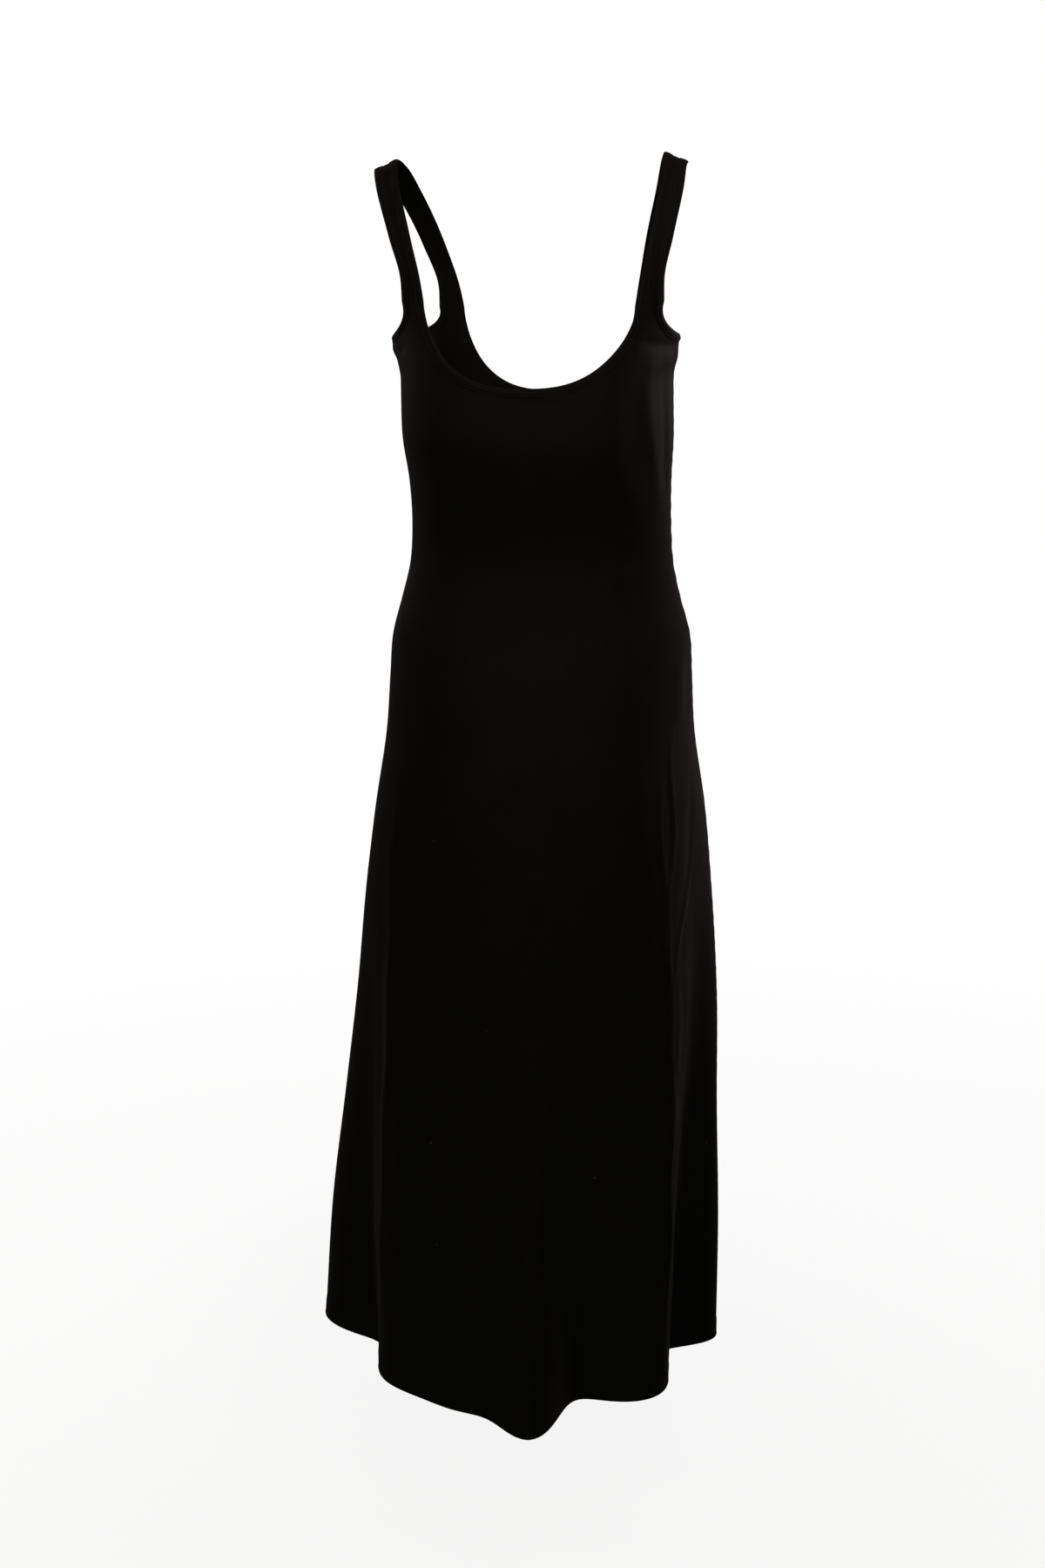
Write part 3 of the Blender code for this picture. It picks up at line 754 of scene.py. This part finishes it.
def side_seam_frames(sweep):
    """Frames up a side seam, from the turned-up hem to the armhole's band."""
    levels = np.arange(-LENGTH + HEM_DEPTH, UNDERARM_LEVEL - BAND_WIDTH, SEAM_STEP)
    run = np.stack((np.full_like(levels, sweep), levels), axis=1)
    return strip_frames(BACK, run, BEFORE_THE_DRESS)


# Sewing thread, made by Geometry Nodes along paths that follow the cloth

def socket_in(tree, name, kind, value=None):
    socket = tree.interface.new_socket(name, in_out="INPUT", socket_type=kind)
    if value is not None:
        socket.default_value = value


def socket_out(tree, name, kind):
    tree.interface.new_socket(name, in_out="OUTPUT", socket_type=kind)


def added(tree, kind, inputs=None, **settings):
    """A new node with its settings; each input takes a socket's link or a plain value."""
    node = tree.nodes.new(kind)
    for setting, value in settings.items():
        setattr(node, setting, value)
    for key, value in (inputs or {}).items():
        if isinstance(value, bpy.types.NodeSocket):
            tree.links.new(value, node.inputs[key])
        else:
            node.inputs[key].default_value = value
    return node


def math_node(tree, operation, *values):
    """The outcome of a Math node that is fed by sockets or plain numbers."""
    return added(tree, "ShaderNodeMath", dict(enumerate(values)), operation=operation).outputs[0]


def stitch_row_tree():
    """Even stitches along a path: small rounded lengths of thread lying on the cloth."""
    tree = bpy.data.node_groups.new("stitch_row", "GeometryNodeTree")
    socket_in(tree, "Path", "NodeSocketGeometry")
    socket_in(tree, "Spacing", "NodeSocketFloat", STITCH_SPACING)
    socket_in(tree, "Stitch Length", "NodeSocketFloat", STITCH_LENGTH)
    socket_in(tree, "Thread Radius", "NodeSocketFloat", THREAD_RADIUS)
    socket_in(tree, "Unevenness", "NodeSocketFloat", STITCH_UNEVENNESS)
    socket_in(tree, "Thread", "NodeSocketMaterial")
    socket_out(tree, "Stitches", "NodeSocketGeometry")
    given = added(tree, "NodeGroupInput").outputs
    curve = added(tree, "GeometryNodeMeshToCurve", {"Mesh": given["Path"]})
    spaced = added(tree, "GeometryNodeResampleCurve",
                   {"Curve": curve.outputs["Curve"], "Length": given["Spacing"]}, mode="LENGTH")
    tangent = added(tree, "GeometryNodeInputTangent").outputs["Tangent"]
    turn = added(tree, "FunctionNodeAlignRotationToVector", {"Vector": tangent}, axis="Z")
    bead = added(tree, "GeometryNodeMeshUVSphere",
                 {"Segments": STITCH_SIDES, "Rings": STITCH_RINGS, "Radius": 1.0})
    half_length = math_node(tree, "MULTIPLY", given["Stitch Length"], 0.5)
    size = added(tree, "ShaderNodeCombineXYZ",
                 {"X": given["Thread Radius"], "Y": given["Thread Radius"], "Z": half_length})
    smallest = math_node(tree, "SUBTRACT", 1.0, given["Unevenness"])
    varied = added(tree, "FunctionNodeRandomValue",
                   {"Seed": STITCH_SEED, 2: smallest, 3: 1.0}, data_type="FLOAT")
    scaled = added(tree, "ShaderNodeVectorMath",
                   {0: size.outputs["Vector"], "Scale": varied.outputs[1]}, operation="SCALE")
    laid = added(tree, "GeometryNodeInstanceOnPoints",
                 {"Points": spaced.outputs["Curve"], "Instance": bead.outputs["Mesh"],
                  "Rotation": turn.outputs["Rotation"], "Scale": scaled.outputs["Vector"]})
    real = added(tree, "GeometryNodeRealizeInstances", {"Geometry": laid.outputs["Instances"]})
    smooth = added(tree, "GeometryNodeSetShadeSmooth", {"Geometry": real.outputs["Geometry"]})
    coloured = added(tree, "GeometryNodeSetMaterial",
                     {"Geometry": smooth.outputs["Geometry"], "Material": given["Thread"]})
    added(tree, "NodeGroupOutput", {"Stitches": coloured.outputs["Geometry"]})
    return tree


def looped_thread_tree():
    """One thread laid along a path, such as the zigzag over a turning's raw edge."""
    tree = bpy.data.node_groups.new("looped_thread", "GeometryNodeTree")
    socket_in(tree, "Path", "NodeSocketGeometry")
    socket_in(tree, "Thread Radius", "NodeSocketFloat", THREAD_RADIUS)
    socket_in(tree, "Thread", "NodeSocketMaterial")
    socket_out(tree, "Looped Thread", "NodeSocketGeometry")
    given = added(tree, "NodeGroupInput").outputs
    curve = added(tree, "GeometryNodeMeshToCurve", {"Mesh": given["Path"]})
    section = added(tree, "GeometryNodeCurvePrimitiveCircle",
                    {"Resolution": THREAD_SIDES, "Radius": given["Thread Radius"]})
    tube = added(tree, "GeometryNodeCurveToMesh",
                 {"Curve": curve.outputs["Curve"], "Profile Curve": section.outputs["Curve"],
                  "Fill Caps": True})
    smooth = added(tree, "GeometryNodeSetShadeSmooth", {"Geometry": tube.outputs["Mesh"]})
    real = added(tree, "GeometryNodeRealizeInstances", {"Geometry": smooth.outputs["Geometry"]})
    coloured = added(tree, "GeometryNodeSetMaterial",
                     {"Geometry": real.outputs["Geometry"], "Material": given["Thread"]})
    added(tree, "NodeGroupOutput", {"Looped Thread": coloured.outputs["Geometry"]})
    return tree


def sewn(name, tree, paths, sizes):
    """A plain mesh of what a tree makes along paths; each path is (points, closed)."""
    points = []
    edges = []
    for path, closed in paths:
        first = len(points)
        points += [tuple(point) for point in path]
        edges += [(i, i + 1) for i in range(first, len(points) - 1)]
        if closed:
            edges.append((len(points) - 1, first))
    guide_mesh = bpy.data.meshes.new(name + "_path")
    guide_mesh.from_pydata(points, edges, [])
    guide = placed_in_scene(name + "_path", guide_mesh)
    modifier = guide.modifiers.new("sewing", "NODES")
    modifier.node_group = tree
    for item in tree.interface.items_tree:
        if item.in_out == "INPUT" and item.name in sizes:
            modifier[item.identifier] = sizes[item.name]
    evaluated = guide.evaluated_get(bpy.context.evaluated_depsgraph_get())
    made = bpy.data.meshes.new_from_object(evaluated)
    made.name = name
    guide.modifiers.remove(modifier)
    bpy.data.objects.remove(guide, do_unlink=True)
    return placed_in_scene(name, made)


def zigzag(frames, near, far, height, step):
    """A path that goes to and fro between two distances over the cloth."""
    travelled = length_along(frames[0])
    wanted = np.arange(0.0, travelled[-1], step)
    points, normals, inward = [read_off(wanted, travelled, part) for part in frames]
    distance = np.where(np.arange(len(wanted)) % 2, far, near)[:, None]
    return points + distance * unit(inward) + height * unit(normals)


# Materials

CLOTH_DARK = (0.0062, 0.0058, 0.0052)
CLOTH_PALE = (0.0101, 0.0096, 0.0087)
# the band is the same wool in paler colours: a painted highlight on its folded edge
BAND_PAINTED_LIT_DARK = (0.0070, 0.0065, 0.0059)
BAND_PAINTED_LIT_PALE = (0.0111, 0.0105, 0.0096)
LINT = (0.075, 0.070, 0.064)
CLOTH_SPECULAR = 0.12
CLOTH_ROUGHNESS = (0.60, 0.74)
CLOTH_SHEEN = 0.10
CLOTH_SHEEN_ROUGHNESS = 0.42
CLOTH_SHEEN_TINT = (1.0, 0.88, 0.95, 1.0)
CLOTH_BUMP = 0.35
CLOTH_RELIEF = 0.00018
BAND_RELIEF = 0.00020
FUZZ_SHARE = 0.5               # of the relief that comes from the nap's fuzz

WALE_WIDTH = 0.0010            # one column of the knit
COURSE_SHARE = 0.8             # height of one row of loops, as a share of that
LOOP_SLANT = 1.4               # how steeply the two arms of each V lie
LOOP_SHARE = 0.22              # relief of the loops beside that of the columns
GAP_SHARPNESS = 3.0            # higher makes the painted shade line between two columns thinner
PAINTED_GAP_SHADE = 0.4                # colour of that painted shade, as a share of the cloth's

THREAD_DARK = (0.006, 0.0055, 0.0055)
THREAD_PALE = (0.014, 0.013, 0.013)
THREAD_SPECULAR = 0.35
THREAD_ROUGHNESS = (0.45, 0.60)
THREAD_TWIST = 1400.0
THREAD_BUMP = 0.4
THREAD_RELIEF = 0.0001


def opaque(colour):
    return (*colour, 1.0)


def shader_group(name, inputs, outputs):
    """A node group's tree with its named inputs and outputs, ready to be filled."""
    tree = bpy.data.node_groups.new(name, "ShaderNodeTree")
    for socket_name, value in inputs.items():
        socket_in(tree, socket_name, "NodeSocketFloat", value)
    for socket_name in outputs:
        socket_out(tree, socket_name, "NodeSocketFloat")
    return tree


def knit_group():
    """Fine jersey: columns of small Vs, from the cloth's own lengths in metres, with a mask for painted
    shade between the columns.
    """
    sizes = {"Wale Width": WALE_WIDTH, "Course Height": WALE_WIDTH * COURSE_SHARE}
    tree = shader_group("jersey_knit", sizes, ("Height", "Between"))
    given = added(tree, "NodeGroupInput").outputs
    place = added(tree, "ShaderNodeUVMap", uv_map="cloth_metres")
    split = added(tree, "ShaderNodeSeparateXYZ", {"Vector": place.outputs["UV"]})
    wale = math_node(tree, "DIVIDE", split.outputs["X"], given["Wale Width"])
    course = math_node(tree, "DIVIDE", split.outputs["Y"], given["Course Height"])
    across = math_node(tree, "FRACT", wale)
    from_middle = math_node(tree, "ABSOLUTE", math_node(tree, "SUBTRACT", across, 0.5))
    slanted = math_node(tree, "ADD", course, math_node(tree, "MULTIPLY", from_middle, LOOP_SLANT))
    loops = math_node(tree, "SINE", math_node(tree, "MULTIPLY", slanted, 2 * math.pi))
    columns = math_node(tree, "SINE", math_node(tree, "MULTIPLY", across, math.pi))
    raised = math_node(tree, "MULTIPLY_ADD", loops, LOOP_SHARE, columns)
    between = math_node(tree, "POWER", math_node(tree, "SUBTRACT", 1.0, columns), GAP_SHARPNESS)
    added(tree, "NodeGroupOutput", {"Height": raised, "Between": between})
    return tree


def nap_group():
    """The uneven nap of soft wool: broad mottling, fine fuzz and a few specks of lint."""
    sizes = {"Mottle Scale": 26.0, "Fuzz Scale": 900.0, "Lint Scale": 16.0, "Lint Size": 0.018}
    tree = shader_group("wool_nap", sizes, ("Mottle", "Fuzz", "Lint"))
    given = added(tree, "NodeGroupInput").outputs
    place = added(tree, "ShaderNodeTexCoord").outputs["Object"]
    mottle = added(tree, "ShaderNodeTexNoise",
                   {"Vector": place, "Scale": given["Mottle Scale"], "Detail": 3.0})
    fuzz = added(tree, "ShaderNodeTexNoise",
                 {"Vector": place, "Scale": given["Fuzz Scale"], "Detail": 2.0})
    cells = added(tree, "ShaderNodeTexVoronoi", {"Vector": place, "Scale": given["Lint Scale"]})
    speck = math_node(tree, "LESS_THAN", cells.outputs["Distance"], given["Lint Size"])
    added(tree, "NodeGroupOutput",
          {"Mottle": mottle.outputs["Fac"], "Fuzz": fuzz.outputs["Fac"], "Lint": speck})
    return tree


KNIT = knit_group()
NAP = nap_group()


def new_material(name, specular):
    """A new material, its tree and its Principled shader."""
    material = bpy.data.materials.new(name)
    material.use_nodes = True
    shader = material.node_tree.nodes["Principled BSDF"]
    shader.inputs["Specular IOR Level"].default_value = specular
    return material, material.node_tree, shader


def mixed(tree, first, second, share):
    """A colour between two others, which are sockets or plain colours."""
    return added(tree, "ShaderNodeMix", {"A": first, "B": second, "Factor": share},
                 data_type="RGBA").outputs["Result"]


def give_surface(tree, shader, colour, uneven, roughness, height, strength, relief):
    """Feeds a shader its colour, a roughness that follows a mask, and a bump."""
    rough = added(tree, "ShaderNodeMapRange",
                  {"Value": uneven, "To Min": roughness[0], "To Max": roughness[1]})
    bump = added(tree, "ShaderNodeBump",
                 {"Height": height, "Strength": strength, "Distance": relief})
    tree.links.new(colour, shader.inputs["Base Color"])
    tree.links.new(rough.outputs["Result"], shader.inputs["Roughness"])
    tree.links.new(bump.outputs["Normal"], shader.inputs["Normal"])


def jersey_material(name, dark, pale, wale_width, relief):
    """Soft black wool jersey: nearly matte, with a faint sheen where it turns away."""
    material, tree, shader = new_material(name, CLOTH_SPECULAR)
    shader.inputs["Sheen Weight"].default_value = CLOTH_SHEEN
    shader.inputs["Sheen Roughness"].default_value = CLOTH_SHEEN_ROUGHNESS
    shader.inputs["Sheen Tint"].default_value = CLOTH_SHEEN_TINT
    sizes = {"Wale Width": wale_width, "Course Height": wale_width * COURSE_SHARE}
    knit = added(tree, "ShaderNodeGroup", sizes, node_tree=KNIT).outputs
    nap = added(tree, "ShaderNodeGroup", node_tree=NAP).outputs
    # painted shade: the knit's recesses between its columns are coloured darker
    painted_gap_shade = [PAINTED_GAP_SHADE * channel for channel in dark]
    colour = mixed(tree, opaque(dark), opaque(pale), nap["Mottle"])
    colour = mixed(tree, colour, opaque(painted_gap_shade), knit["Between"])
    colour = mixed(tree, colour, opaque(LINT), nap["Lint"])
    height = math_node(tree, "MULTIPLY_ADD", nap["Fuzz"], FUZZ_SHARE, knit["Height"])
    give_surface(tree, shader, colour, nap["Fuzz"], CLOTH_ROUGHNESS, height, CLOTH_BUMP, relief)
    return material


def thread_material():
    """Black polyester thread, a little glossier than the cloth, twisted."""
    material, tree, shader = new_material("black_thread", THREAD_SPECULAR)
    place = added(tree, "ShaderNodeTexCoord").outputs["Object"]
    twist = added(tree, "ShaderNodeTexWave", {"Vector": place, "Scale": THREAD_TWIST},
                  bands_direction="DIAGONAL").outputs["Fac"]
    colour = mixed(tree, opaque(THREAD_DARK), opaque(THREAD_PALE), twist)
    give_surface(tree, shader, colour, twist, THREAD_ROUGHNESS, twist, THREAD_BUMP, THREAD_RELIEF)
    return material


def make_panels(cloth):
    """The two sheets of cloth."""
    pieces = {}
    panels = {"front_cloth": (FRONT, "front_panel"), "back_cloth": (BACK, "back_panel")}
    for name, (side, node) in panels.items():
        panel = make_panel(name, side)
        panel.data.materials.append(cloth)
        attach(panel, "root")
        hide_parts(node)
        pieces[name] = panel
    return pieces


def make_bands(band, neck, arms):
    """The folded bands round the neck and both armholes."""
    pieces = {}
    bands = {"neck_band": (neck, "neck_binding", 0.0)}
    for which, frames in arms.items():
        bands["armhole_band_" + which] = (frames, "armhole_binding_" + which, band_fullness(frames))
    for name, (frames, node, fullness) in bands.items():
        strip = carried_profile(name, frames, band_profile(), True, fullness)
        strip.data.materials.append(band)
        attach(strip, "root")
        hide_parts(node)
        pieces[name] = strip
    return pieces


def make_turnings(cloth, hem, seams):
    """The turned-up hem and the side seams' pressed turnings."""
    pieces = {}
    inside = {"hem_turning": (hem, hem_profile(), True)}
    for which, frames in seams.items():
        inside["seam_turning_" + which] = (frames, turning_profile(), False)
    for name, (frames, profile, closed) in inside.items():
        strip = carried_profile(name, frames, profile, closed)
        strip.data.materials.append(cloth)
        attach(strip, "root")
        pieces[name] = strip
    return pieces


def make_stitches(thread, neck, arms):
    """The rows of stitches that hold the bands and the hem."""
    pieces = {}
    groove = BAND_CLOTH * GROOVE_DEPTH
    lifted = THREAD_RADIUS * 0.8
    arm_stitches = []
    for frames in arms.values():
        fuller = swelled(BAND_STITCH_INSET, band_fullness(frames)[:, None])
        arm_stitches.append((strip_points(frames, BAND_STITCH_INSET, groove * fuller + lifted), True))
    hem_line = hem_frames(HEM_DEPTH - HEM_STITCH_INSET)
    stitches = {
        "neck_stitches": [(strip_points(neck, BAND_STITCH_INSET, groove + lifted), True)],
        "armhole_stitches": arm_stitches,
        "hem_stitches": [(strip_points(hem_line, 0.0, THREAD_RADIUS * 0.5), True)],
    }
    stitch_row = stitch_row_tree()
    sizes = {
        "Spacing": STITCH_SPACING,
        "Stitch Length": STITCH_LENGTH,
        "Thread Radius": THREAD_RADIUS,
        "Unevenness": STITCH_UNEVENNESS,
        "Thread": thread,
    }
    for name, paths in stitches.items():
        sewing = sewn(name, stitch_row, paths, sizes)
        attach(sewing, "root")
        pieces[name] = sewing
    return pieces


def make_overlock(thread, hem, seams):
    """Zigzag thread over the turnings' raw edges."""
    under_turning = -CLOTH - ALLOWANCE_CLOTH - THREAD_RADIUS
    under_hem = -CLOTH - HEM_CLOTH - THREAD_RADIUS
    raw_edges = [(frames, ALLOWANCE_WIDTH, under_turning) for frames in seams.values()]
    raw_edges.append((hem, HEM_DEPTH, under_hem))
    overlock = []
    for frames, edge, height in raw_edges:
        near = edge - OVERLOCK_WIDTH
        far = edge + OVERLOCK_OVERHANG
        overlock.append((zigzag(frames, near, far, height, OVERLOCK_STEP), False))
    sewing = sewn("inside_overlock", looped_thread_tree(), overlock,
                  {"Thread Radius": THREAD_RADIUS, "Thread": thread})
    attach(sewing, "root")
    return {"inside_overlock": sewing}


def make_dress():
    cloth = jersey_material("black_wool_jersey", CLOTH_DARK, CLOTH_PALE, WALE_WIDTH, CLOTH_RELIEF)
    # the band's paler colours are a painted highlight
    band = jersey_material("black_wool_band", BAND_PAINTED_LIT_DARK, BAND_PAINTED_LIT_PALE, WALE_WIDTH, BAND_RELIEF)
    thread = thread_material()
    neck = neck_frames()
    arms = {"left": armhole_frames(True), "right": armhole_frames(False)}
    hem = hem_frames()
    seams = {"left": side_seam_frames(0.0), "right": side_seam_frames(180.0)}
    pieces = make_panels(cloth)
    pieces.update(make_bands(band, neck, arms))
    pieces.update(make_turnings(cloth, hem, seams))
    pieces.update(make_stitches(thread, neck, arms))
    pieces.update(make_overlock(thread, hem, seams))


# Camera, light and floor

CAMERA_PLACE = (0.2426, -2.0356, -0.2075)
CAMERA_TILT = 11.75            # degrees downwards
CAMERA_TURN = 7.0
CAMERA_LENS = 45.4
SENSOR = 36.0

WARM = (1.0, 0.96, 0.77)
ROSY = (1.0, 0.86, 0.88)
WHITE = (1.0, 1.0, 1.0, 1.0)

# Soft lights. Columns: name, place, what it points at, width and height, watts,
# spread in degrees, colour
LIGHTS = [
    ("key", (0.0, -2.3, 0.5), (0.0, 0.0, -0.08), (3.6, 1.0), 5.8, 110, WARM),
    ("above", (0.45, -0.9, 1.5), (0.05, 0.0, -0.15), (0.8, 0.5), 0.44, 42, ROSY),
    ("left_edge", (-1.5, 0.8, 0.35), (-0.1, 0.0, -0.24), (0.35, 0.35), 0.050, 28, ROSY),
    ("bust_edge", (1.5, 0.9, 0.35), (0.12, 0.0, -0.205), (0.30, 0.15), 0.046, 11, ROSY),
    ("hip_edge", (1.5, 0.9, 0.35), (0.12, 0.0, -0.66), (0.30, 0.25), 0.115, 15, ROSY),
]
ROOM_LIGHT = 0.019

FLOOR_LEVEL = -1.455           # the straps hang this far above the floor
FLOOR_HALF = 12.0
FLOOR_WHITE_FROM = 2.5         # distance from the dress at which the floor's painted glow is the room's white
FLOOR_PAINTED_SHADE = 0.88             # that painted glow beneath the dress, a little dimmer there as painted shade
FLOOR_GREY = (0.35, 0.35, 0.35)  # what it sends back to the dress
FLOOR_ROUGHNESS = 0.9
FLOOR_SPECULAR = 0.1


def make_camera():
    lens = bpy.data.cameras.new("camera")
    lens.sensor_width = SENSOR
    lens.lens = CAMERA_LENS
    camera = placed_in_scene("camera", lens)
    camera.location = CAMERA_PLACE
    camera.rotation_euler = (math.radians(90 - CAMERA_TILT), 0.0, math.radians(CAMERA_TURN))
    bpy.context.scene.camera = camera


def soft_light(name, place, aim, size, power, spread, colour):
    lamp = bpy.data.lights.new(name, "AREA")
    lamp.shape = "RECTANGLE"
    lamp.size, lamp.size_y = size
    lamp.energy = power
    lamp.color = colour
    lamp.spread = math.radians(spread)
    light = placed_in_scene(name, lamp)
    light.location = place
    light.rotation_euler = (Vector(aim) - Vector(place)).to_track_quat("-Z", "Y").to_euler()
    light.visible_camera = False


def make_world():
    """White to the camera's own rays and dimmer as a light."""
    world = bpy.data.worlds.new("studio")
    bpy.context.scene.world = world
    world.use_nodes = True
    tree = world.node_tree
    tree.nodes.clear()
    rays = added(tree, "ShaderNodeLightPath")
    seen = added(tree, "ShaderNodeBackground", {"Color": WHITE})
    lit = added(tree, "ShaderNodeBackground", {"Color": WHITE, "Strength": ROOM_LIGHT})
    both = added(tree, "ShaderNodeMixShader",
                 {"Fac": rays.outputs["Is Camera Ray"],
                  1: lit.outputs["Background"], 2: seen.outputs["Background"]})
    added(tree, "ShaderNodeOutputWorld", {"Surface": both.outputs["Shader"]})


def make_floor():
    """A pale floor with a painted glow seen only by the camera, dimmer beneath the dress as painted
    shade and brightening to the white of the room.
    """
    mesh = bpy.data.meshes.new("floor")
    corners = [(-1, -1), (1, -1), (1, 1), (-1, 1)]
    points = [(FLOOR_HALF * x, FLOOR_HALF * y, FLOOR_LEVEL) for x, y in corners]
    mesh.from_pydata(points, [], [(0, 1, 2, 3)])
    floor = placed_in_scene("floor", mesh)
    material, tree, shader = new_material("pale_floor", FLOOR_SPECULAR)
    shader.inputs["Base Color"].default_value = opaque(FLOOR_GREY)
    shader.inputs["Roughness"].default_value = FLOOR_ROUGHNESS
    place = added(tree, "ShaderNodeTexCoord").outputs["Object"]
    level = added(tree, "ShaderNodeVectorMath", {0: place, 1: (1.0, 1.0, 0.0)}, operation="MULTIPLY")
    distance = added(tree, "ShaderNodeVectorMath", {0: level.outputs["Vector"]}, operation="LENGTH")
    painted_glow_strength = added(tree, "ShaderNodeMapRange",
                     {"Value": distance.outputs["Value"], "From Max": FLOOR_WHITE_FROM,
                      "To Min": FLOOR_PAINTED_SHADE, "To Max": 1.0})
    # painted glow: the floor shines for camera rays only, dimmer near the dress as painted shade
    rays = added(tree, "ShaderNodeLightPath")
    seen = math_node(tree, "MULTIPLY", painted_glow_strength.outputs["Result"], rays.outputs["Is Camera Ray"])
    glow = added(tree, "ShaderNodeEmission", {"Color": WHITE, "Strength": seen})
    both = added(tree, "ShaderNodeAddShader",
                 {0: shader.outputs["BSDF"], 1: glow.outputs["Emission"]})
    tree.links.new(both.outputs["Shader"], tree.nodes["Material Output"].inputs["Surface"])
    floor.data.materials.append(material)


def main():
    bpy.context.scene.view_settings.view_transform = "Standard"
    make_camera()
    for light in LIGHTS:
        soft_light(*light)
    make_world()
    make_floor()
    make_dress()


main()
